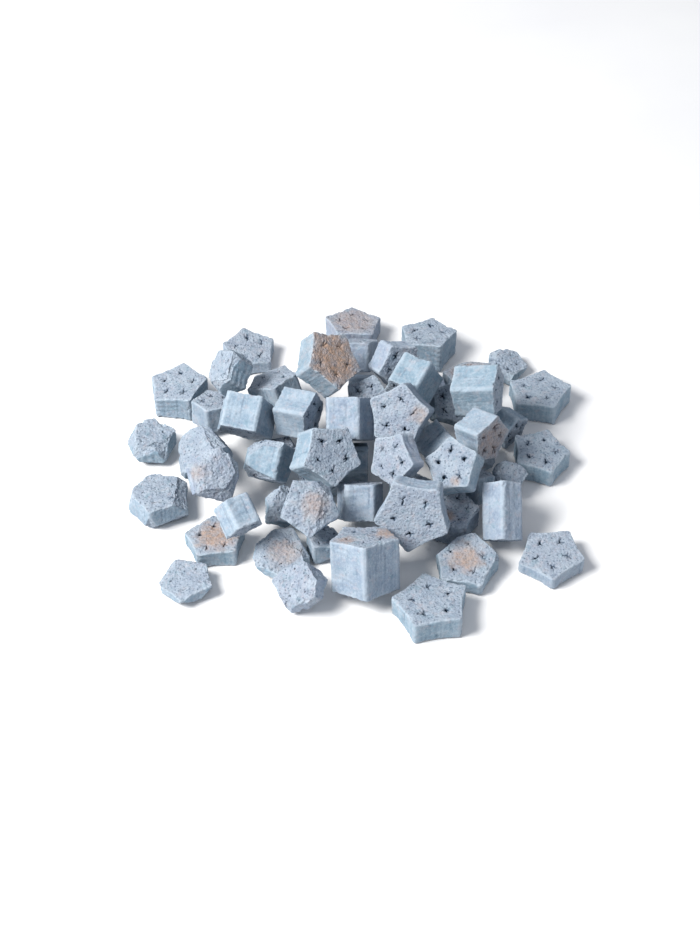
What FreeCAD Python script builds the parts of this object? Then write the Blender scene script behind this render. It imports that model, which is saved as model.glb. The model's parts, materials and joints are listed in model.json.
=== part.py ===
import FreeCAD
import Part
import math
import os
import Sketcher

# A heap of loose, star-section porous ceramic filter stones for a pond or aquarium.
#
# Each stone is a short length of one extruded rod.  The rod's section is a fat five-pointed
# star with shallow flutes and five small bores near its points.  The rod was broken, not sawn,
# so the lengths differ and the near ends slant.  The stones lie as they were tipped out.

POINTS = 5
STEP = 360.0 / POINTS
HALF_STEP = STEP / 2

# Driving sizes that every stone shares, in millimetres or as plain ratios.
SHARED = {
    "sharp_share": 1.05,     # radius over the points before they are rounded / radius after
    "flute_curve": 3.0,      # radius of a flute's arc / radius over the sharp points
    "bore_circle": 0.47,     # radius of the ring of bores / radius over the sharp points
    "bore_radius": 0.6,
    "point_round": 1.8,      # radius that rounds each point along the rod
    "slant_reach": 1.2,      # how far the slanting break is drawn past the points
    "clearance": 0.5,        # least gap between the plain hulls of two stones
}

# One row a stone: radius over the points, length, then where its middle lies (x, y, z), which
# way its near end leans (compass heading from +X, lean from upright), how far it is turned
# about its own length, and how far its broken near end slants towards that heading.
VISIBLE = {
    "far_left_nub":           (12.5, 14, -92, 19, 7, 0, 0, 20, 4),
    "far_left_boulder":       (15.0, 15, -82, -17, 8, 90, 0, 22, 6),
    "left_back_star":         (14.5, 15, -81, 53, 8, -175, 0, 40, 6),
    "back_left_slab":         (13.5, 12, -49, 84, 6, -45, 0, 6, 10),
    "left_inner_post":        (11.0, 14, -63, 38, 8, 90, 10, 20, 4),
    "left_leaning_stub":      (11.5, 14, -57, 38, 23, -165, 45, 25, 6),
    "left_rounded_lump":      (15.0, 15, -64, 4, 8, -150, 20, 20, 5),
    "left_front_lump":        (14.0, 14, -59, -14, 11, -60, 30, 10, 5),
    "orange_left_star":       (14.0, 10, -56, -44, 6, 105, 0, 64, 5),
    "front_left_slab":        (13.0, 9, -70, -62, 4, -135, 0, 40, 5),
    "left_front_log":         (9.5, 15, -46, -42, 10, 120, 60, 0, 0),
    "left_front_crater":      (14.0, 13, -31, -46, 9, -90, 0, 10, 12),
    "front_nub":              (12.5, 12, -22, -71, 9, -135, 30, 10, 6),
    "front_buried_post":      (8.5, 12, -15, -46, 7, 0, 0, 20, 0),
    "left_smooth_block":      (14.0, 18, -46, 25, 18, 75, 55, 0, 6),
    "back_left_wedge":        (13.0, 15, -35, 48, 12, 135, 25, 0, 0),
    "left_centre_log":        (12.0, 18, -25, 25, 19, -25, 80, 10, 6),
    "left_centre_block":      (12.5, 19, -39, -6, 15, 75, 50, 0, 5),
    "left_buried_chip":       (8.0, 9, -32, 17, 5, 0, 0, 0, 0),
    "centre_front_rubble":    (11.0, 13, -30, -21, 12, -60, 30, 0, 8),
    "centre_front_boulder":   (14.0, 13, -11, -37, 18, -90, 40, 0, 5),
    "centre_blue_post":       (11.0, 17, 6, -25, 12, 90, 40, 0, 0),
    "centre_square_block":    (13.0, 20, -2, 17, 25, 90, 45, 55, 0),
    "centre_box_star":        (14.5, 18, -12, -14, 23, -55, 45, 50, 0),
    "front_standing_block":   (15.5, 27, 5, -48, 15, 95, 20, 31, 8),
    "orange_crown_star":      (15.5, 13, -10, 38, 32, -30, 40, 30, 0),
    "back_middle_cap":        (14.5, 15, 2, 97, 8, 70, 0, 24, 10),
    "back_middle_post":       (12.0, 15, 2, 76, 12, 90, 35, 0, 0),
    "back_shaded_star":       (12.0, 12, 19, 48, 25, -60, 70, 50, 0),
    "back_right_drum":        (14.5, 18, 38, 88, 10, 105, 0, 45, 10),
    "centre_back_stub":       (11.5, 13, 14, 39, 20, -90, 35, 20, 5),
    "upper_smooth_log":       (12.0, 17, 29, 38, 22, 60, 70, 0, 0),
    "upper_blue_stub":        (11.0, 13, 42, 34, 22, -70, 40, 10, 5),
    "centre_holed_star":      (14.5, 16, 24, 2, 31, -105, 50, 35, 0),
    "centre_low_star":        (13.0, 9, 21, -22, 26, -140, 60, 40, 0),
    "large_front_star":       (17.0, 12, 27, -34, 21, -100, 65, 70, 0),
    "centre_shaded_block":    (12.0, 16, 43, 6, 13, 30, 60, 0, 0),
    "right_centre_star":      (13.0, 13, 45, -22, 29, -130, 35, 70, 5),
    "right_back_tan_stub":    (13.0, 14, 55, 62, 8, -60, 0, 20, 5),
    "right_rough_log":        (12.5, 22, 56, 30, 23, -15, 75, 10, 6),
    "right_cracked_log":      (12.0, 16, 56, 5, 24, -45, 75, 10, 6),
    "right_buried_wedge":     (9.0, 13, 57, 7, 8, 0, 90, 35, 0),
    "right_ridged_post":      (9.0, 14, 60, -13, 10, 90, 20, 35, 0),
    "right_back_slab":        (11.0, 10, 75, 74, 6, -20, 0, 10, 10),
    "right_back_star":        (15.5, 13, 90, 52, 7, 135, 0, 15, 7),
    "right_end_log":          (9.5, 14, 74, 24, 10, -45, 90, 35, 6),
    "right_rounded_nub":      (9.0, 12, 70, 1, 8, -60, 30, 0, 6),
    "far_right_star":         (14.0, 13, 79, 7, 7, -40, 0, 40, 6),
    "right_tall_block":       (9.5, 27, 63, -36, 12, 90, 50, 35, 6),
    "right_front_peak":       (12.0, 17, 53, -34, 11, -90, 0, 20, 10),
    "front_crater_star":      (15.0, 14, 48, -54, 7, -95, 0, 30, 12),
    "front_right_star":       (17.0, 13, 35, -69, 7, 120, 0, 52, 6),
    "far_right_front_star":   (15.0, 10, 83, -49, 5, -150, 0, 60, 6),
}

# Stones of the bottom layer that no side of the heap shows; they hold the others up.
HIDDEN = {
    "bed_stone_middle":       (10.0, 13, 2, 6, 9, 0, 90, 36, 0),
    "bed_stone_right":        (10.0, 13, 28, 24, 9, 60, 90, 36, 0),
    "bed_stone_front_right":  (11.0, 12, 28, -14, 6, 20, 0, 0, 0),
    "bed_stone_front_left":   (10.0, 13, -14, -10, 9, 40, 90, 36, 0),
    "bed_stone_back":         (10.0, 13, 6, 46, 9, 0, 90, 36, 0),
    "bed_stone_back_right":   (10.0, 13, 42, 48, 9, 100, 90, 36, 0),
}
HIDDEN_NODE = "hidden_bed_stones"


# ---------------------------------------------------------------- how the stones settle

SETTLE_ROUNDS = 80       # passes that push overlapping stones apart
HOLD_ROUNDS = 48         # of those, the passes that also pull each stone to where it was put
HOLD = 0.03              # share of the way home that one such pass takes
TOUCH = 0.02             # overlap that counts as a touch, mm
MEASURE = 0.02           # chord error of the facets that measure the heap, mm


def dot(a, b):
    return a[0] * b[0] + a[1] * b[1] + a[2] * b[2]


def cross(a, b):
    return (a[1] * b[2] - a[2] * b[1], a[2] * b[0] - a[0] * b[2], a[0] * b[1] - a[1] * b[0])


def polar(radius, degrees):
    angle = math.radians(degrees)
    return FreeCAD.Vector(radius * math.cos(angle), radius * math.sin(angle), 0)


def flute_circle(sharp):
    """Radius of a flute's arc, and how far its centre lies from the middle of the rod."""
    curve = sharp * SHARED["flute_curve"]
    half_step = math.radians(HALF_STEP)
    half_side = sharp * math.sin(half_step)
    return curve, sharp * math.cos(half_step) + math.sqrt(curve ** 2 - half_side ** 2)


def turn(row):
    """The stone's rotation: spun about its length, which then leans towards its heading."""
    heading, lean, spin = row[5], row[6], row[7]
    up = FreeCAD.Vector(0, 0, 1)
    to_heading = FreeCAD.Rotation(up, heading)
    to_lean = FreeCAD.Rotation(FreeCAD.Vector(0, 1, 0), lean)
    return to_heading.multiply(to_lean).multiply(FreeCAD.Rotation(up, spin))


def hull_radius(radius):
    """Corner radius of the plain pentagon whose sides touch the stone's rounded points."""
    sharp = radius * SHARED["sharp_share"]
    rounding = SHARED["point_round"]
    curve, out = flute_circle(sharp)
    aside = out * math.sin(math.radians(HALF_STEP))
    ahead = out * math.cos(math.radians(HALF_STEP))
    inner = ahead - math.sqrt((curve + rounding) ** 2 - aside ** 2)
    return inner + rounding / math.cos(math.radians(HALF_STEP))


class Hull:
    """The plain five-sided prism round a stone, used only to settle the heap."""

    def __init__(self, row):
        radius, length = hull_radius(row[0]), row[1]
        rotation = turn(row)
        self.position = list(row[2:5])
        self.reach = math.hypot(radius, length / 2)
        axis = tuple(rotation.multVec(FreeCAD.Vector(0, 0, 1)))
        self.normals = [axis]
        self.edges = [axis]
        self.corners = []
        for k in range(POINTS):
            side = HALF_STEP + STEP * k
            self.normals.append(tuple(rotation.multVec(polar(1, side))))
            self.edges.append(tuple(rotation.multVec(polar(1, side + 90))))
            for end in (-length / 2, length / 2):
                corner = polar(radius, STEP * k) + FreeCAD.Vector(0, 0, end)
                self.corners.append(tuple(rotation.multVec(corner)))
        self.lowest = min(corner[2] for corner in self.corners)

    def extent(self, axis):
        along = [dot(corner, axis) for corner in self.corners]
        return min(along), max(along)


def overlap(a, b):
    """How deep hull a is in hull b with the clearance added, and the shortest way out for a."""
    apart = [a.position[i] - b.position[i] for i in range(3)]
    gap = SHARED["clearance"]
    if dot(apart, apart) > (a.reach + b.reach + gap) ** 2:
        return 0, None
    axes = a.normals + b.normals
    for first in a.edges:
        for second in b.edges:
            across = cross(first, second)
            size = math.sqrt(dot(across, across))
            if size > 0.05:
                axes.append(tuple(value / size for value in across))
    depth, way = None, None
    for axis in axes:
        shift = dot(apart, axis)
        a_low, a_high = a.extent(axis)
        b_low, b_high = b.extent(axis)
        forward = b_high - (a_low + shift) + gap
        back = (a_high + shift) - b_low + gap
        if forward <= 0 or back <= 0:
            return 0, None
        if depth is None or min(forward, back) < depth:
            depth = min(forward, back)
            sign = 1 if forward < back else -1
            way = tuple(sign * value for value in axis)
    return depth, way


def settle(hulls):
    """Push overlapping stones apart, then lower each one until it rests on something."""
    home = [list(hull.position) for hull in hulls]
    count = len(hulls)
    for sweep in range(SETTLE_ROUNDS):
        worst = 0
        for i in range(count):
            for j in range(i):
                depth, way = overlap(hulls[i], hulls[j])
                if depth > TOUCH / 2:
                    worst = max(worst, depth)
                    share = depth / 2 + TOUCH / 2
                    for k in range(3):
                        hulls[i].position[k] += way[k] * share
                        hulls[j].position[k] -= way[k] * share
        for hull, start in zip(hulls, home):
            hull.position[2] = max(hull.position[2], -hull.lowest)
            if sweep < HOLD_ROUNDS:
                for k in range(3):
                    hull.position[k] += HOLD * (start[k] - hull.position[k])
        if sweep >= HOLD_ROUNDS and worst < TOUCH:
            break
    for hull in sorted(hulls, key=lambda item: item.position[2] + item.lowest):
        lower(hull, [other for other in hulls if other is not hull])


def lower(hull, others):
    step = 4.0
    while step > TOUCH:
        height = hull.position[2]
        hull.position[2] = max(height - step, -hull.lowest)
        clear = all(overlap(hull, other)[0] <= TOUCH for other in others)
        if not clear or hull.position[2] >= height:
            hull.position[2] = height
            step /= 2


# ---------------------------------------------------------------- the document

def make_sheet(doc, rows):
    sheet = doc.addObject("Spreadsheet::Sheet", "Sizes")
    cells = dict(SHARED)
    for name, row in rows.items():
        cells[name + "_radius"] = row[0]
        cells[name + "_length"] = row[1]
        cells[name + "_slant"] = row[8]
    for number, (alias, value) in enumerate(cells.items(), start=1):
        sheet.set("A%d" % number, alias)
        sheet.set("B%d" % number, str(value))
        sheet.setAlias("B%d" % number, alias)
    doc.recompute()


def new_sketch(body, name, role):
    sketch = body.newObject("Sketcher::SketchObject", name)
    plane = next(item for item in body.Origin.OriginFeatures if item.Role == role)
    sketch.AttachmentSupport = [(plane, "")]
    sketch.MapMode = "FlatFace"
    return sketch


def fix(sketch, *terms):
    sketch.addConstraint(Sketcher.Constraint(*terms))


def bind(sketch, expression, *terms):
    """Add a dimension to the sketch and tie it to the sheet."""
    index = sketch.addConstraint(Sketcher.Constraint(*terms))
    sketch.setExpression("Constraints[%d]" % index, expression)


def guide_ring(sketch, radius, expression):
    """A construction circle about the rod's middle."""
    circle = Part.Circle(FreeCAD.Vector(), FreeCAD.Vector(0, 0, 1), radius)
    ring = sketch.addGeometry(circle, True)
    fix(sketch, "Coincident", ring, 3, -1, 1)
    bind(sketch, expression, "Radius", ring, radius)
    return ring


def guide_rays(sketch, ring, radius):
    """Construction lines from the middle to the five sharp points, the first along X."""
    rays = []
    for k in range(POINTS):
        line = Part.LineSegment(FreeCAD.Vector(), polar(radius, STEP * k))
        ray = sketch.addGeometry(line, True)
        fix(sketch, "Coincident", ray, 1, -1, 1)
        fix(sketch, "PointOnObject", ray, 2, ring)
        if k == 0:
            fix(sketch, "Horizontal", ray)
        else:
            fix(sketch, "Angle", rays[k - 1], 1, ray, 1, math.radians(STEP))
        rays.append(ray)
    return rays


def draw_flutes(sketch, rays, radius, expression):
    """Five arcs that bow inwards from point to point."""
    curve, out = flute_circle(radius)
    half_arc = math.degrees(math.asin(math.sin(math.radians(HALF_STEP)) / SHARED["flute_curve"]))
    flutes = []
    for k in range(POINTS):
        middle = HALF_STEP + STEP * k
        circle = Part.Circle(polar(out, middle), FreeCAD.Vector(0, 0, 1), curve)
        start = math.radians(middle + 180 - half_arc)
        end = math.radians(middle + 180 + half_arc)
        flute = sketch.addGeometry(Part.ArcOfCircle(circle, start, end), False)
        fix(sketch, "Coincident", flute, 2, rays[k], 2)
        fix(sketch, "Coincident", flute, 1, rays[(k + 1) % POINTS], 2)
        if k == 0:
            bind(sketch, expression, "Radius", flute, curve)
        else:
            fix(sketch, "Equal", flutes[0], flute)
        flutes.append(flute)


def draw_bores(sketch, rays, ring, radius):
    """One bore on each ray, where it crosses the ring of bores."""
    bores = []
    for k in range(POINTS):
        circle = Part.Circle(polar(radius, STEP * k), FreeCAD.Vector(0, 0, 1), SHARED["bore_radius"])
        bore = sketch.addGeometry(circle, False)
        fix(sketch, "PointOnObject", bore, 3, ring)
        fix(sketch, "PointOnObject", bore, 3, rays[k])
        if k == 0:
            bind(sketch, "Sizes.bore_radius", "Radius", bore, SHARED["bore_radius"])
        else:
            fix(sketch, "Equal", bores[0], bore)
        bores.append(bore)


def draw_section(body, name, row):
    """The die's section: a sharp star with shallow flutes, and the five bores."""
    sharp = row[0] * SHARED["sharp_share"]
    sharp_cell = "Sizes.%s_radius * Sizes.sharp_share" % name
    sketch = new_sketch(body, name + "_section", "XY_Plane")
    ring = guide_ring(sketch, sharp, sharp_cell)
    rays = guide_rays(sketch, ring, sharp)
    draw_flutes(sketch, rays, sharp, sharp_cell + " * Sizes.flute_curve")
    bore_circle = sharp * SHARED["bore_circle"]
    bore_ring = guide_ring(sketch, bore_circle, sharp_cell + " * Sizes.bore_circle")
    draw_bores(sketch, rays, bore_ring, bore_circle)
    return sketch


def start_stone(doc, name, row):
    """The rod's length as extruded, still sharp at its points."""
    body = doc.addObject("PartDesign::Body", name)
    body.Label = name
    pad = body.newObject("PartDesign::Pad", name + "_rod")
    pad.Profile = draw_section(body, name, row)
    pad.SideType = "Symmetric"
    pad.setExpression("Length", "Sizes.%s_length" % name)
    return body


def round_points(body, name, row):
    """Round the five sharp edges along the rod."""
    pad = body.Tip
    sharp = row[0] * SHARED["sharp_share"]
    edges = []
    for number, edge in enumerate(pad.Shape.Edges, start=1):
        ends = [vertex.Point for vertex in edge.Vertexes]
        along = len(ends) == 2 and abs(ends[0].z - ends[1].z) > row[1] / 2
        if along and abs(math.hypot(ends[0].x, ends[0].y) - sharp) < 0.01:
            edges.append("Edge%d" % number)
    if len(edges) != POINTS:
        raise RuntimeError("%s has %d points to round" % (name, len(edges)))
    fillet = body.newObject("PartDesign::Fillet", name + "_points")
    fillet.Base = (pad, edges)
    fillet.setExpression("Radius", "Sizes.point_round")


def slant_end(body, name, row):
    """Break the near end off at a slant that falls towards the stone's heading."""
    radius, length, spin, slant = row[0], row[1], row[7], row[8]
    across = radius * SHARED["slant_reach"]
    drop = 2 * across * math.tan(math.radians(slant))
    above = 1.0
    sketch = new_sketch(body, name + "_break", "XZ_Plane")
    turned = FreeCAD.Rotation(FreeCAD.Vector(0, 1, 0), -spin)
    sketch.AttachmentOffset = FreeCAD.Placement(FreeCAD.Vector(), turned)
    corners = [
        FreeCAD.Vector(-across, length / 2, 0),
        FreeCAD.Vector(across, length / 2 - drop, 0),
        FreeCAD.Vector(across, length / 2 + above, 0),
        FreeCAD.Vector(-across, length / 2 + above, 0),
    ]
    lines = []
    for k, corner in enumerate(corners):
        following = corners[(k + 1) % len(corners)]
        lines.append(sketch.addGeometry(Part.LineSegment(corner, following), False))
    for k, line in enumerate(lines):
        fix(sketch, "Coincident", line, 2, lines[(k + 1) % len(lines)], 1)
    fix(sketch, "Vertical", lines[1])
    fix(sketch, "Horizontal", lines[2])
    fix(sketch, "Vertical", lines[3])
    across_cell = "Sizes.%s_radius * Sizes.slant_reach" % name
    bind(sketch, across_cell, "DistanceX", lines[0], 1, -1, 1, across)
    bind(sketch, across_cell, "DistanceX", -1, 1, lines[0], 2, across)
    bind(sketch, "Sizes.%s_length / 2" % name, "DistanceY", -1, 1, lines[0], 1, length / 2)
    bind(sketch, "2 * %s * tan(Sizes.%s_slant * 1 deg)" % (across_cell, name),
         "DistanceY", lines[0], 2, lines[0], 1, drop)
    fix(sketch, "DistanceY", lines[0], 1, lines[3], 1, above)
    pocket = body.newObject("PartDesign::Pocket", name + "_slant")
    pocket.Profile = sketch
    pocket.Type = "ThroughAll"
    pocket.SideType = "Symmetric"


def check_document(doc):
    for item in doc.Objects:
        if "Invalid" in item.State or "Error" in item.State:
            raise RuntimeError("%s failed: %s" % (item.Label, item.State))


def check_shape(item):
    shape = item.Shape
    if shape.isNull() or not shape.isValid() or shape.Volume <= 0:
        raise RuntimeError("%s has no sound shape" % item.Label)


def check_slant(body, name, row):
    """The slanting break has to take something off, and less than a third of the rod."""
    whole = body.getObject(name + "_points").Shape.Volume
    left = body.Shape.Volume
    if row[8] > 0 and not 0.66 * whole < left < whole:
        raise RuntimeError("%s: the break leaves %.2f of it" % (name, left / whole))


def put_on_origin(bodies):
    """Move the whole heap so that the middle of its footprint is the origin."""
    box = FreeCAD.BoundBox()
    for body in bodies:
        for point in body.Shape.tessellate(MEASURE)[0]:
            box.add(point)
    middle = FreeCAD.Vector(-box.Center.x, -box.Center.y, -box.ZMin)
    for body in bodies:
        body.Placement = FreeCAD.Placement(body.Placement.Base + middle, body.Placement.Rotation)


def main():
    rows = dict(VISIBLE)
    rows.update(HIDDEN)
    hulls = {name: Hull(row) for name, row in rows.items()}
    settle(list(hulls.values()))

    doc = FreeCAD.newDocument("FilterStones")
    make_sheet(doc, rows)
    bodies = {name: start_stone(doc, name, row) for name, row in rows.items()}
    doc.recompute()
    for name, row in rows.items():
        round_points(bodies[name], name, row)
        if row[8] > 0:
            slant_end(bodies[name], name, row)
    doc.recompute()
    for name, row in rows.items():
        check_slant(bodies[name], name, row)
        place = FreeCAD.Vector(*hulls[name].position)
        bodies[name].Placement = FreeCAD.Placement(place, turn(row))
    put_on_origin(list(bodies.values()))

    group = doc.addObject("Part::Compound", HIDDEN_NODE)
    group.Label = HIDDEN_NODE
    group.Links = [bodies[name] for name in HIDDEN]
    doc.recompute()
    check_document(doc)

    os.makedirs("parts", exist_ok=True)
    for item in [bodies[name] for name in VISIBLE] + [group]:
        check_shape(item)
        item.Shape.exportStep("parts/%s.step" % item.Label)


main()
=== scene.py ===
import bpy
import json
import math
import numpy as np
import zlib
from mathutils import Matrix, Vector

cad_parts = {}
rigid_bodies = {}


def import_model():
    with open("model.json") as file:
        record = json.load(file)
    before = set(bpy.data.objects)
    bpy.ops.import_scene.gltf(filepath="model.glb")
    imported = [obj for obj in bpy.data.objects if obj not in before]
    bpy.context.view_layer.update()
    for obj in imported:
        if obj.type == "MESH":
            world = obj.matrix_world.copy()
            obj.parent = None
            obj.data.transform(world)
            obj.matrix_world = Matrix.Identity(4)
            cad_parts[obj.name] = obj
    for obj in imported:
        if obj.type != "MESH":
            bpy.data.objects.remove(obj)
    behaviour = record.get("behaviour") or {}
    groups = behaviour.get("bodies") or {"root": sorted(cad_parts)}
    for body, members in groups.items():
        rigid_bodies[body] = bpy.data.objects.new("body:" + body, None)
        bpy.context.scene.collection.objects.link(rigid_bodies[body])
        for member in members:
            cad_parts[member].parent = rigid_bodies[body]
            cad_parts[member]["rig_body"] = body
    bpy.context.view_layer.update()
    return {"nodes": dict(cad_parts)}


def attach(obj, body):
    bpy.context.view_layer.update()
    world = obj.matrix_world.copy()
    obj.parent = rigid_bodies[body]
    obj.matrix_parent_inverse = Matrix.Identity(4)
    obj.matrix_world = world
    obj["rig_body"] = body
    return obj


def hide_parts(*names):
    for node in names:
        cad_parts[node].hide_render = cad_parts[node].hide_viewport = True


# A heap of loose porous ceramic filter stones.  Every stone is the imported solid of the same
# name, remeshed finely and then worn: its broken ends are rough and pitted, its rims chipped,
# its extruded skin streaked and faintly banded.  Lengths inside a stone are in millimetres.

MM = 0.001
POINTS = 5
STEP = 2 * math.pi / POINTS
GRAIN = 0.35             # mesh spacing after remeshing, mm
SHARP_OVER_TIP = 0.78    # how far the unrounded point lies past the rounded one, mm
FLUTE_CURVE = 3.0        # radius of a flute / radius over the unrounded points
BORE_RADIUS = 0.6
FACET_WEAR = 0.3         # a stone chewed more than this has facets knocked off
MOUTHS = [0.5, 0.9, 1.4, 1.9]    # how open a bore's mouth may be; 1 leaves its radius as it is

# How chewed a stone is, from 0 for a crisp piece of rod to 1 for a lump.
PLAIN_WEAR = 0.05
WEAR = {
    "far_left_nub": 0.75,
    "far_left_boulder": 0.6,
    "left_rounded_lump": 0.9,
    "left_front_lump": 0.9,
    "left_front_crater": 0.8,
    "front_left_slab": 0.7,
    "front_nub": 0.7,
    "centre_front_boulder": 0.85,
    "centre_front_rubble": 0.9,
    "left_centre_block": 0.45,
    "left_leaning_stub": 0.35,
    "right_rounded_nub": 0.8,
    "right_buried_wedge": 0.6,
    "right_front_peak": 0.45,
    "right_ridged_post": 0.35,
    "right_back_tan_stub": 0.5,
    "right_back_slab": 0.35,
    "left_buried_chip": 0.6,
    "front_buried_post": 0.5,
    "front_crater_star": 0.35,
    "orange_crown_star": 0.3,
}

# Ochre stains on near ends: compass heading and distance (mm) of the stain from the middle of
# the end, its radius (mm) and its strength.
STAINS = {
    "orange_crown_star": [(0, 0, 19, 0.85)],
    "orange_left_star": [(0, 1, 12, 0.75)],
    "back_middle_cap": [(0, 0, 15, 0.45)],
    "right_back_tan_stub": [(0, 0, 13, 0.45), (-60, 6, 4, 0.6)],
    "front_crater_star": [(0, 0, 9, 0.65)],
    "left_front_crater": [(-30, 3, 9, 0.45)],
    "left_front_lump": [(180, 8, 6, 0.35)],
    "centre_front_boulder": [(0, 2, 8, 0.45)],
    "right_cracked_log": [(0, 0, 13, 0.5)],
    "right_front_peak": [(-120, 5, 4, 0.6)],
    "front_standing_block": [(-150, 9, 5, 0.6), (20, 11, 8, 0.7)],
    "centre_holed_star": [(0, 10, 6, 0.4)],
    "right_centre_star": [(-90, 8, 3, 0.5)],
}


# ---------------------------------------------------------------- noise

GRADIENTS = np.random.default_rng(7).normal(size=(256, 3))
GRADIENTS /= np.linalg.norm(GRADIENTS, axis=1)[:, None]


def noise(points, size, seed):
    """Smooth gradient noise of about -1 to 1 whose lumps are `size` mm wide."""
    scaled = points / size + np.array([seed * 0.731, seed * 1.193, seed * 0.417])
    cell = np.floor(scaled).astype(np.int64)
    part = scaled - cell
    ease = part ** 3 * (part * (part * 6 - 15) + 10)
    total = np.zeros(len(points))
    for corner in np.ndindex(2, 2, 2):
        at = cell + corner
        mixed = at[:, 0] * 73856093 ^ at[:, 1] * 19349663 ^ at[:, 2] * 83492791
        mixed = (mixed ^ (mixed >> 11)) * 2654435761
        slope = GRADIENTS[(mixed >> 7) & 255]
        value = np.einsum("ij,ij->i", slope, part - corner)
        share = np.prod(np.where(corner, ease, 1 - ease), axis=1)
        total += value * share
    return total * 1.7


def rough(points, size, seed, octaves):
    """Noise summed over octaves, each half the size and 0.55 the height of the last."""
    total = np.zeros(len(points))
    height = 1.0
    for k in range(octaves):
        total += height * noise(points, size / 2 ** k, seed + 17 * k)
        height *= 0.55
    return total


def ramp(value, low, high):
    share = np.clip((value - low) / (high - low), 0, 1)
    return share * share * (3 - 2 * share)


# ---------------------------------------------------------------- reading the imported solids

def read_mesh(mesh):
    """Corner points (mm) and triangles, with equal points merged."""
    mesh.calc_loop_triangles()
    points = np.zeros(len(mesh.vertices) * 3)
    mesh.vertices.foreach_get("co", points)
    points = points.reshape(-1, 3) / MM
    triangles = np.zeros(len(mesh.loop_triangles) * 3, dtype=np.int32)
    mesh.loop_triangles.foreach_get("vertices", triangles)
    keys, back = np.unique(np.round(points, 4), axis=0, return_inverse=True)
    triangles = back.reshape(-1)[triangles].reshape(-1, 3)
    sound = (triangles[:, 0] != triangles[:, 1]) & (triangles[:, 1] != triangles[:, 2])
    sound &= triangles[:, 0] != triangles[:, 2]
    return keys, triangles[sound]


def split_solids(points, triangles):
    """One (points, triangles) pair for each separate solid."""
    label = np.arange(len(points))
    while True:
        lowest = label[triangles].min(axis=1)
        fresh = label.copy()
        for k in range(3):
            np.minimum.at(fresh, triangles[:, k], lowest)
        fresh = fresh[fresh]
        if np.array_equal(fresh, label):
            break
        label = fresh
    solids = []
    for name in np.unique(label[triangles[:, 0]]):
        faces = triangles[label[triangles[:, 0]] == name]
        used, back = np.unique(faces, return_inverse=True)
        solids.append((points[used], back.reshape(-1, 3)))
    return solids


class Stone:
    """Where a solid's rod axis, points, ends and bores lie."""

    def __init__(self, points, triangles):
        corners = points[triangles]
        across = np.cross(corners[:, 1] - corners[:, 0], corners[:, 2] - corners[:, 0])
        twice = np.linalg.norm(across, axis=1)
        keep = twice > 1e-9
        self.normals = across[keep] / twice[keep, None]
        self.areas = twice[keep] / 2
        self.middles = corners[keep].mean(axis=1)
        self.axis = self.find_axis()
        facing = self.normals @ self.axis
        far = facing < -0.999
        near = facing > 0.5
        self.middle = self.average(self.middles, far)
        self.near_point = self.average(self.middles, near)
        self.near_normal = self.average(self.normals, near)
        self.near_normal /= np.linalg.norm(self.near_normal)
        self.find_points(points, facing)

    def average(self, values, chosen):
        return (values[chosen] * self.areas[chosen, None]).sum(axis=0) / self.areas[chosen].sum()

    def find_axis(self):
        """The direction that the most area lies along; it points at the broken near end."""
        rounded = np.unique(np.round(self.normals, 3), axis=0, return_inverse=True)[1].reshape(-1)
        weight = np.bincount(rounded, self.areas)
        best, most = None, -1.0
        for index in np.argsort(weight)[::-1][:4]:
            guess = self.average(self.normals, rounded == index)
            guess /= np.linalg.norm(guess)
            along = self.areas[np.abs(self.normals @ guess) < 0.01].sum()
            if along > most:
                best, most = guess, along
        flat = [self.areas[self.normals @ (sign * best) > 0.9999].sum() for sign in (1, -1)]
        if max(flat) > 1.02 * min(flat):
            return best if flat[0] < flat[1] else -best
        return best if best @ np.array([0.05, -0.7, 0.9]) > 0 else -best

    def find_points(self, points, facing):
        guide = np.array([0.0, 0.0, 1.0]) if abs(self.axis[2]) < 0.9 else np.array([1.0, 0.0, 0.0])
        u = np.cross(guide, self.axis)
        u /= np.linalg.norm(u)
        v = np.cross(self.axis, u)
        flat = points - self.middle
        plane = (flat @ u) + 1j * (flat @ v)
        self.tip = np.abs(plane).max()
        outer = plane[np.abs(plane) > 0.96 * self.tip]
        turn = np.angle(np.sum((outer / np.abs(outer)) ** POINTS)) / POINTS
        self.u = u * math.cos(turn) + v * math.sin(turn)
        self.v = np.cross(self.axis, self.u)
        side = (np.abs(facing) < 0.01)
        spots = self.middles[side] - self.middle
        reach = np.hypot(spots @ self.u, spots @ self.v)
        inner = reach < 0.68 * self.tip
        self.bore_circle = np.average(reach[inner], weights=self.areas[side][inner])

    def local(self, points):
        flat = points - self.middle
        return flat @ self.u, flat @ self.v, flat @ self.axis

    def world(self, u, v, w):
        return self.middle + np.outer(u, self.u) + np.outer(v, self.v) + np.outer(w, self.axis)

    def near_height(self, u, v):
        """Height of the near end's plane over each point of the section."""
        lift = self.near_point - self.middle
        n = self.near_normal
        total = lift @ n - u * (self.u @ n) - v * (self.v @ n)
        return total / (self.axis @ n)


# ---------------------------------------------------------------- wearing a stone

def skin_depth(stone, u, v):
    """Distance in from the five fluted sides."""
    sharp = stone.tip + SHARP_OVER_TIP
    curve = FLUTE_CURVE * sharp
    half = sharp * math.sin(STEP / 2)
    out = sharp * math.cos(STEP / 2) + math.sqrt(curve ** 2 - half ** 2)
    depth = np.full(len(u), 1e9)
    for k in range(POINTS):
        angle = STEP * (k + 0.5)
        away = np.hypot(u - out * math.cos(angle), v - out * math.sin(angle))
        depth = np.minimum(depth, away - curve)
    return np.maximum(depth, 0)


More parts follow.
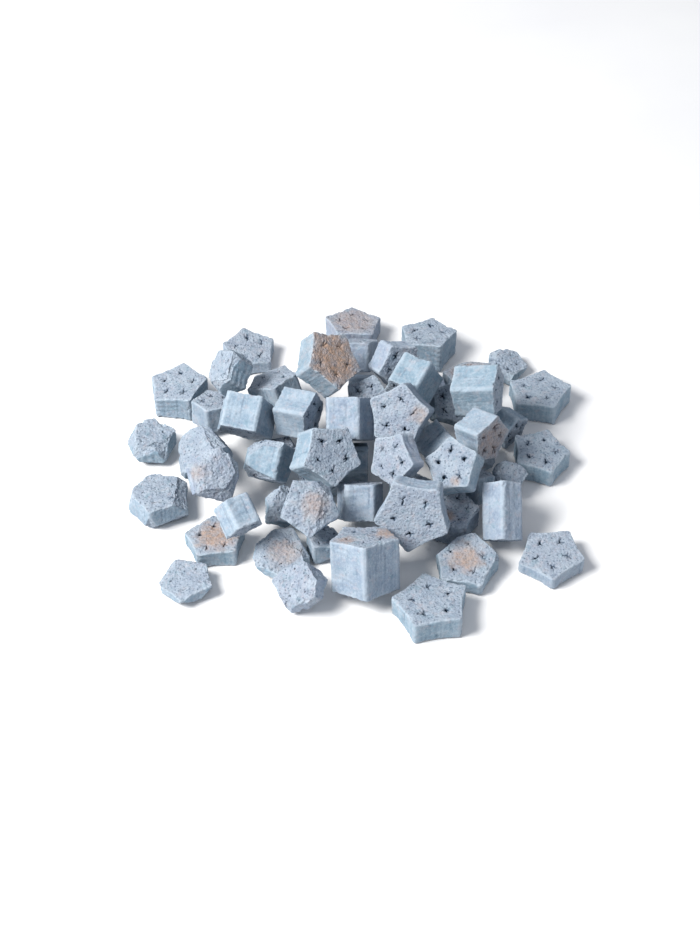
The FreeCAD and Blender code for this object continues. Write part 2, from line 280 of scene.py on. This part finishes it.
class Bore:
    """One bore's mouth at one end: where it is, how open it is and which way it is cracked."""

    def __init__(self, stone, number, wear, rng):
        self.u = stone.bore_circle * math.cos(STEP * number)
        self.v = stone.bore_circle * math.sin(STEP * number)
        self.open = rng.choice(MOUTHS) * (1 - 0.9 * wear)
        self.ragged = rng.uniform(0.5, 1.0)
        self.seed = rng.uniform(0, 50)
        count = rng.integers(4, 8)
        first = rng.uniform(0, 2 * math.pi)
        self.cracks = [
            (first + 2 * math.pi * k / count + rng.uniform(-0.35, 0.35),
             rng.uniform(1.3, 3.4), rng.uniform(0.2, 1.0))
            for k in range(count)
        ]

    def mouth(self, u, v, depth):
        """Pinches the bore at the broken end and tears its edge into a ragged star."""
        du = u - self.u
        dv = v - self.v
        away = np.hypot(du, dv) + 1e-6
        angle = np.arctan2(dv, du)
        ring = np.column_stack([np.cos(angle), np.sin(angle), np.full(len(u), self.seed)])
        lobes = 0.5 + 0.6 * noise(ring, 0.55, self.seed)
        target = BORE_RADIUS * self.open * np.clip(0.35 + self.ragged * lobes, 0.15, 1.5)
        near_edge = np.exp(-np.maximum(away - BORE_RADIUS, 0) / 0.7) * np.exp(-depth / 1.3)
        change = (target - BORE_RADIUS) * near_edge
        return u + du / away * change, v + dv / away * change

    def sink(self, u, v):
        """How deep the end is sunk round the mouth and along its cracks, mm."""
        du = u - self.u
        dv = v - self.v
        away = np.hypot(du, dv)
        sunk = 0.60 * self.ragged * np.exp(-(away / 1.3) ** 2)
        for heading, length, depth in self.cracks:
            along = du * math.cos(heading) + dv * math.sin(heading)
            aside = dv * math.cos(heading) - du * math.sin(heading)
            aside = aside + 0.22 * np.sin(along * 2.3 + heading * 3)
            fade = ramp(along, 0.0, 0.4) * (1 - ramp(along, 0.45 * length, length))
            sunk = np.maximum(sunk, 1.6 * depth * fade * np.exp(-(aside / 0.30) ** 2))
        return sunk


def break_facets(stone, spot, near_w, wear, rng, seed):
    """Knocks broad grainy facets off a chewed stone, drawing points in towards its middle.

    Also says how much each point was cut, from 0 to 1.
    """
    height = near_w.mean()
    centre = np.array([0.0, 0.0, 0.5 * height])
    arm = spot - centre
    extent = np.array([0.95 * stone.tip, 0.95 * stone.tip, 0.52 * height])
    keep = np.ones(len(spot))
    for _ in range(int(round(20 * wear))):
        out = rng.normal(size=3) * np.array([1.0, 1.0, 1.1])
        out /= np.linalg.norm(out)
        limit = np.linalg.norm(out * extent) * (1.0 - wear * rng.uniform(0.0, 0.26))
        facing = np.maximum(arm @ out, 1e-6)
        keep = np.minimum(keep, np.clip(limit / facing, 0.62, 1.0))
    cut = ramp(1 - keep, 0.004, 0.03)
    dents = 0.30 + 0.45 * rough(spot, 4.5, seed + 111, 2) + 0.30 * rough(spot, 1.4, seed + 113, 2)
    keep = keep - cut * np.clip(dents, 0, 1.5) / np.maximum(np.linalg.norm(arm, axis=1), 2.0)
    return centre + arm * keep[:, None], cut


def wear_stone(stone, points, name, node, wear):
    """Moves the fine mesh's points (mm); the layers say how broken and stained each is, and carry
    its painted shade and painted highlight.
    """
    seed = zlib.crc32(name.encode()) % 9973
    rng = np.random.default_rng(seed)
    u, v, w = stone.local(points)
    near_w = stone.near_height(u, v)
    near = np.maximum(near_w - w, 0)
    far = np.maximum(w, 0)
    skin = skin_depth(stone, u, v)
    end = np.minimum(near, far)
    reach = np.minimum(6.0, 0.5 * near_w)
    at_near = near < far

    flat_spot = np.column_stack([u, v, np.where(at_near, 40.0, -40.0)])
    swell = noise(flat_spot, 9.0, seed)
    lumps = rough(flat_spot, 4.0, seed + 3, 2)
    grit = rough(flat_spot, 1.1, seed + 5, 2)
    sunk = np.zeros(len(u))
    for side in (True, False):
        for number in range(POINTS):
            bore = Bore(stone, number, wear, rng)
            chosen = at_near == side
            bu, bv = bore.mouth(u[chosen], v[chosen], end[chosen])
            hole = bore.sink(u[chosen], v[chosen]) * max(0.1, 1 - 1.1 * wear)
            u[chosen], v[chosen] = bu, bv
            sunk[chosen] = np.maximum(sunk[chosen], hole)
    broken = 0.38 + 0.30 * wear + 0.18 * swell + (0.10 + 0.30 * wear) * lumps
    broken += (0.12 + 0.10 * wear) * grit
    drop = np.clip(broken, 0.05, None) + sunk

    spot = np.column_stack([u, v, w])
    rim = np.exp(-(skin ** 2 + end ** 2) / (0.55 + 1.4 * wear) ** 2)
    chips = np.clip(0.05 + 1.0 * rough(spot, 3.2, seed + 31, 3), 0.0, 1.6)
    drop += rim * chips * (0.6 + 0.8 * wear)
    shallow = np.clip(1 - end / reach, 0, 1) ** 2
    w = w + np.where(at_near, -1, 1) * drop * shallow

    angle = np.arctan2(v, u)
    radius = np.hypot(u, v)
    streak_at = np.column_stack([radius * np.cos(angle), radius * np.sin(angle), w * 0.05])
    streaks = rough(streak_at, 1.3, seed + 61, 2)
    bands = np.sin(w * 2.1 + 1.5 * noise(spot, 6.0, seed + 71) + 0.8 * np.sin(angle * 3 + seed))
    banded = ramp(noise(spot, 11.0, seed + 73), -0.1, 0.5)
    grain = rough(spot, 1.6, seed + 81, 2)
    skin_drop = 0.16 + 0.10 * streaks + 0.10 * bands * banded + 0.06 * grain
    skin_drop += 0.16 * np.clip(rough(spot, 8.0, seed + 91, 2), -0.6, 1)
    skin_drop += 0.35 * wear * np.clip(0.4 + rough(spot, 3.0, seed + 95, 2), 0, 1.6)
    knocked = np.clip(rough(spot, 4.0, seed + 99, 2) - 0.45, 0, 1)
    tipness = ramp(radius / stone.tip, 0.86, 1.0)
    skin_drop += tipness * knocked * 0.9
    skin_drop += rim * chips * (0.35 + 0.5 * wear)
    skin_drop = np.clip(skin_drop, 0.02, 3.0) * np.exp(-(skin / 3.0) ** 2)
    inward = np.clip(1 - skin_drop / np.maximum(radius, 1e-6), 0.2, 1)
    spot = np.column_stack([u * inward, v * inward, w])

    cut = np.zeros(len(spot))
    if wear > FACET_WEAR:
        spot, cut = break_facets(stone, spot, near_w, wear, rng, seed)

    broken_share = (1 - ramp(end, 0.15, 0.7 + 0.5 * wear)) * ramp(skin, 0.0, 0.35)
    broken_share = np.maximum(broken_share, ramp(rim * chips, 0.30, 0.8))
    broken_share = np.maximum(broken_share, cut)
    # Painted shade and highlight: positive values darken the bore mouths, cracks, skin streaks and
    # the walls inside the bores; negative values, where the end's grit and lumps are high, paint a
    # highlight.
    at_end = 1 - ramp(end, 0.3, 1.5)
    painted_shade_and_highlight = sunk * 0.9 * at_end - 0.40 * grit * at_end - 0.15 * lumps * at_end
    painted_shade_and_highlight += (0.35 * streaks - 0.2 * grain) * (1 - at_end)
    inside = ramp(skin, 1.5, 2.5) * ramp(end, 0.25, 0.8)
    painted_shade_and_highlight = np.maximum(painted_shade_and_highlight, 1.4 * inside)
    # Painted highlight along unchipped rims and the points' ridges.
    edge = np.exp(-(skin ** 2 + end ** 2) / 0.9 ** 2) * (1 - ramp(chips, 0.5, 1.2))
    ridge = ramp(radius / stone.tip, 0.93, 1.0) * (1 - ramp(skin, 0.3, 1.0))
    painted_edge_highlight = np.clip(np.maximum(edge, 0.8 * ridge), 0, 1)
    final = stone.world(spot[:, 0], spot[:, 1], spot[:, 2])
    layers = {
        "broken": broken_share,
        "painted_shade_and_highlight": np.clip(painted_shade_and_highlight, -1, 1.5),
        "painted_edge_highlight": painted_edge_highlight,
        "stain": find_stain(stone, node, final) * (0.25 + 0.75 * broken_share),
    }
    return final, layers


def find_stain(stone, node, points):
    """How strongly each point lies in one of the stone's ochre stains."""
    total = np.zeros(len(points))
    n = stone.near_normal
    for heading, distance, radius, strength in STAINS.get(node, []):
        towards = np.array([math.cos(math.radians(heading)), math.sin(math.radians(heading)), 0.0])
        towards -= n * (towards @ n)
        towards /= np.linalg.norm(towards)
        middle = stone.near_point + towards * distance
        away = np.linalg.norm(points - middle, axis=1)
        away = away * (1 + 0.35 * noise(points, 3.0, 11))
        total = np.maximum(total, strength * (1 - ramp(away, 0.3 * radius, 1.1 * radius)))
    return total


def remesh(points, triangles, name):
    """A finely and evenly meshed copy of a closed solid."""
    rough_mesh = bpy.data.meshes.new(name + "_coarse")
    rough_mesh.from_pydata((points * MM).tolist(), [], triangles.tolist())
    holder = bpy.data.objects.new(name + "_coarse", rough_mesh)
    bpy.context.scene.collection.objects.link(holder)
    modifier = holder.modifiers.new("even", "REMESH")
    modifier.mode = "VOXEL"
    modifier.voxel_size = GRAIN * MM
    modifier.use_smooth_shade = True
    graph = bpy.context.evaluated_depsgraph_get()
    fine = bpy.data.meshes.new_from_object(holder.evaluated_get(graph))
    bpy.data.objects.remove(holder)
    bpy.data.meshes.remove(rough_mesh)
    return fine


def add_layer(mesh, name, values):
    layer = mesh.attributes.new(name, "FLOAT", "POINT")
    layer.data.foreach_set("value", np.asarray(values, dtype=np.float32))


def make_stone(name, node, points, triangles, material):
    stone = Stone(points, triangles)
    mesh = remesh(points, triangles, name)
    co = np.zeros(len(mesh.vertices) * 3)
    mesh.vertices.foreach_get("co", co)
    co = co.reshape(-1, 3) / MM
    wear = WEAR.get(node, PLAIN_WEAR)
    moved, layers = wear_stone(stone, co, name, node, wear)
    mesh.vertices.foreach_set("co", (moved * MM).reshape(-1))
    mesh.name = name
    layers["tone"] = np.full(len(moved), np.random.default_rng(zlib.crc32(name.encode())).uniform())
    for layer, values in layers.items():
        add_layer(mesh, layer, values)
    mesh.materials.clear()
    mesh.materials.append(material)
    mesh.update()
    piece = bpy.data.objects.new(name, mesh)
    bpy.context.scene.collection.objects.link(piece)
    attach(piece, frame["nodes"][node]["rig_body"])
    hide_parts(node)
    return piece


# ---------------------------------------------------------------- materials

class Shader:
    """A node tree with short calls for the nodes that the ceramic uses."""

    def __init__(self, name):
        self.material = bpy.data.materials.new(name)
        self.material.use_nodes = True
        self.tree = self.material.node_tree
        self.principled = self.tree.nodes["Principled BSDF"]
        self.place = self.tree.nodes.new("ShaderNodeTexCoord").outputs["Object"]

    def link(self, source, target):
        self.tree.links.new(source, target)

    def layer(self, name):
        node = self.tree.nodes.new("ShaderNodeAttribute")
        node.attribute_name = name
        return node.outputs["Fac"]

    def noise(self, size_mm, detail, roughness=0.6, distortion=0.0):
        node = self.tree.nodes.new("ShaderNodeTexNoise")
        self.link(self.place, node.inputs["Vector"])
        node.inputs["Scale"].default_value = 1 / (size_mm * MM)
        node.inputs["Detail"].default_value = detail
        node.inputs["Roughness"].default_value = roughness
        node.inputs["Distortion"].default_value = distortion
        return node.outputs["Fac"]

    def cells(self, size_mm):
        node = self.tree.nodes.new("ShaderNodeTexVoronoi")
        self.link(self.place, node.inputs["Vector"])
        node.inputs["Scale"].default_value = 1 / (size_mm * MM)
        return node.outputs["Distance"]

    def spread(self, value, low, high, to_low=0.0, to_high=1.0):
        node = self.tree.nodes.new("ShaderNodeMapRange")
        node.inputs["From Min"].default_value = low
        node.inputs["From Max"].default_value = high
        node.inputs["To Min"].default_value = to_low
        node.inputs["To Max"].default_value = to_high
        self.link(value, node.inputs["Value"])
        return node.outputs["Result"]

    def math(self, operation, first, second):
        node = self.tree.nodes.new("ShaderNodeMath")
        node.operation = operation
        for socket, value in zip(node.inputs, (first, second)):
            if isinstance(value, (int, float)):
                socket.default_value = value
            else:
                self.link(value, socket)
        return node.outputs["Value"]

    def blend(self, share, first, second):
        node = self.tree.nodes.new("ShaderNodeMix")
        node.data_type = "RGBA"
        self.link(share, node.inputs["Factor"])
        sockets = [item for item in node.inputs if item.type == "RGBA"]
        for socket, value in zip(sockets, (first, second)):
            if isinstance(value, tuple):
                socket.default_value = value + (1.0,)
            else:
                self.link(value, socket)
        return next(item for item in node.outputs if item.type == "RGBA")

    def bump(self, height, strength, distance_mm, below=None):
        node = self.tree.nodes.new("ShaderNodeBump")
        node.inputs["Distance"].default_value = distance_mm * MM
        self.link(height, node.inputs["Height"])
        if isinstance(strength, float):
            node.inputs["Strength"].default_value = strength
        else:
            self.link(strength, node.inputs["Strength"])
        if below is not None:
            self.link(below, node.inputs["Normal"])
        return node.outputs["Normal"]


def ceramic(name, skin, lilac, ends, pale, teal, painted_shade, pink, ochre, umber):
    """Matte porous ceramic: mottled and stained ochre, with painted highlight on rims, ridges and
    grit and painted shade in pores, pits, cracks, streaks and bores.

    The colours run from the rod's skin to its broken ends, then the tints and the painted shade
    laid over them.
    """
    s = Shader(name)
    broken = s.layer("broken")
    painted_shade_and_highlight = s.layer("painted_shade_and_highlight")
    painted_edge_highlight = s.layer("painted_edge_highlight")
    stain = s.layer("stain")
    tone = s.layer("tone")
    body = s.blend(tone, skin, lilac)
    body = s.blend(s.math("MULTIPLY", broken, 0.75), body, ends)
    clouds = s.spread(s.noise(6.0, 4.0), 0.40, 0.64)
    body = s.blend(s.math("MULTIPLY", clouds, 0.40), body, pale)
    blush = s.spread(s.noise(3.1, 4.0, 0.7), 0.52, 0.72)
    body = s.blend(s.math("MULTIPLY", blush, 0.50), body, pink)
    tealness = s.spread(s.noise(4.2, 4.0, 0.7), 0.54, 0.70)
    body = s.blend(s.math("MULTIPLY", tealness, 0.55), body, teal)
    specks = s.spread(s.noise(1.1, 4.0, 0.75), 0.50, 0.66)
    body = s.blend(s.math("MULTIPLY", specks, 0.45), body, pale)
    # Painted shade in the pores, stronger on the broken ends.
    pores = s.spread(s.cells(1.7), 0.06, 0.30, 1.0, 0.0)
    fine_pores = s.spread(s.noise(0.8, 3.0, 0.7), 0.40, 0.30)
    painted_pore_shade = s.math("ADD", s.math("MULTIPLY", pores, 0.85), s.math("MULTIPLY", fine_pores, 0.80))
    painted_pore_shade = s.math("MULTIPLY", painted_pore_shade, s.spread(broken, 0.0, 1.0, 0.25, 0.90))
    body = s.blend(s.math("MINIMUM", painted_pore_shade, 0.8), body, painted_shade)
    # Painted shade in pits, cracks, skin streaks and inside the bores.
    body = s.blend(s.math("MULTIPLY", s.spread(painted_shade_and_highlight, 0.12, 0.80), 0.95), body, painted_shade)
    # Painted highlight on the end's grit and lumps.
    painted_grit_highlight = s.spread(painted_shade_and_highlight, -0.1, -0.7)
    body = s.blend(s.math("MULTIPLY", painted_grit_highlight, 0.55), body, pale)
    # Painted highlight along rims and point ridges.
    body = s.blend(s.math("MULTIPLY", painted_edge_highlight, 0.40), body, pale)
    patch = s.spread(s.noise(3.0, 4.0, 0.65, 0.4), 0.34, 0.60)
    rust = s.math("MULTIPLY", stain, s.math("ADD", s.math("MULTIPLY", patch, 0.45), 0.55))
    warm = s.blend(s.spread(s.noise(1.8, 3.0), 0.42, 0.66), ochre, umber)
    body = s.blend(rust, body, warm)
    s.link(body, s.principled.inputs["Base Color"])
    s.link(s.spread(specks, 0.0, 1.0, 0.88, 0.97), s.principled.inputs["Roughness"])
    s.principled.inputs["Specular IOR Level"].default_value = 0.25
    coarse = s.math("ADD", s.noise(1.0, 5.0, 0.75), s.math("MULTIPLY", s.cells(1.1), 0.5))
    strength = s.spread(broken, 0.0, 1.0, 0.30, 0.85)
    first = s.bump(coarse, strength, 0.7)
    second = s.bump(s.noise(0.45, 3.0, 0.6), 0.5, 0.2, first)
    s.link(second, s.principled.inputs["Normal"])
    return s.material


def paper_floor():
    s = Shader("pale_floor")
    wash = s.spread(s.noise(160.0, 3.0), 0.35, 0.65)
    tint = s.blend(wash, (0.78, 0.78, 0.79), (0.82, 0.82, 0.82))
    s.link(tint, s.principled.inputs["Base Color"])
    s.principled.inputs["Roughness"].default_value = 0.9
    return s.material


PALE_BLUE = ceramic(
    "pale_blue_ceramic_look",
    skin=(0.180, 0.265, 0.338),
    lilac=(0.235, 0.280, 0.365),
    ends=(0.270, 0.312, 0.385),
    pale=(0.41, 0.475, 0.535),
    teal=(0.145, 0.240, 0.300),
    painted_shade=(0.028, 0.055, 0.095),
    pink=(0.370, 0.325, 0.345),
    ochre=(0.41, 0.255, 0.165),
    umber=(0.26, 0.185, 0.14),
)


# ---------------------------------------------------------------- the heap

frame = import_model()

for node in sorted(frame["nodes"]):
    solids = split_solids(*read_mesh(frame["nodes"][node].data))
    for number, (points, triangles) in enumerate(solids, start=1):
        name = node + "_stone" if len(solids) == 1 else "%s_stone_%d" % (node, number)
        make_stone(name, node, points, triangles, PALE_BLUE)


# ---------------------------------------------------------------- floor, light and camera

def add_floor():
    mesh = bpy.data.meshes.new("floor")
    far = 3.0
    corners = [(-far, -far, 0), (far, -far, 0), (far, far, 0), (-far, far, 0)]
    mesh.from_pydata(corners, [], [(0, 1, 2, 3)])
    mesh.materials.append(paper_floor())
    floor = bpy.data.objects.new("floor", mesh)
    floor.location.z = -0.0002
    bpy.context.scene.collection.objects.link(floor)


def add_light(name, place, aim, size, power, colour):
    data = bpy.data.lights.new(name, "AREA")
    data.size = size
    data.energy = power
    data.color = colour
    lamp = bpy.data.objects.new(name, data)
    lamp.location = place
    lamp.rotation_euler = (Vector(aim) - Vector(place)).to_track_quat("-Z", "Y").to_euler()
    bpy.context.scene.collection.objects.link(lamp)


def add_world():
    world = bpy.data.worlds.new("studio")
    world.use_nodes = True
    background = world.node_tree.nodes["Background"]
    background.inputs["Color"].default_value = (0.86, 0.91, 1.0, 1.0)
    background.inputs["Strength"].default_value = 0.48
    bpy.context.scene.world = world


def add_camera(target, elevation, distance, lens):
    data = bpy.data.cameras.new("camera")
    data.lens = lens
    data.sensor_width = 36
    data.clip_start = 0.01
    data.clip_end = 20
    camera = bpy.data.objects.new("camera", data)
    back = Vector((0, -math.cos(elevation), math.sin(elevation)))
    camera.location = Vector(target) + back * distance
    camera.rotation_euler = (-back).to_track_quat("-Z", "Y").to_euler()
    bpy.context.scene.collection.objects.link(camera)
    bpy.context.scene.camera = camera


add_floor()
add_world()
add_light("key", (-0.70, -0.28, 0.85), (0, 0, 0), 0.50, 24, (1.0, 0.98, 0.95))
add_light("fill", (0.9, -0.7, 0.7), (0, 0, 0), 1.2, 2, (0.85, 0.9, 1.0))
add_camera((-0.0006, -0.0095, 0.010), math.radians(45), 0.8, 67.84)
bpy.context.scene.view_settings.view_transform = "Standard"
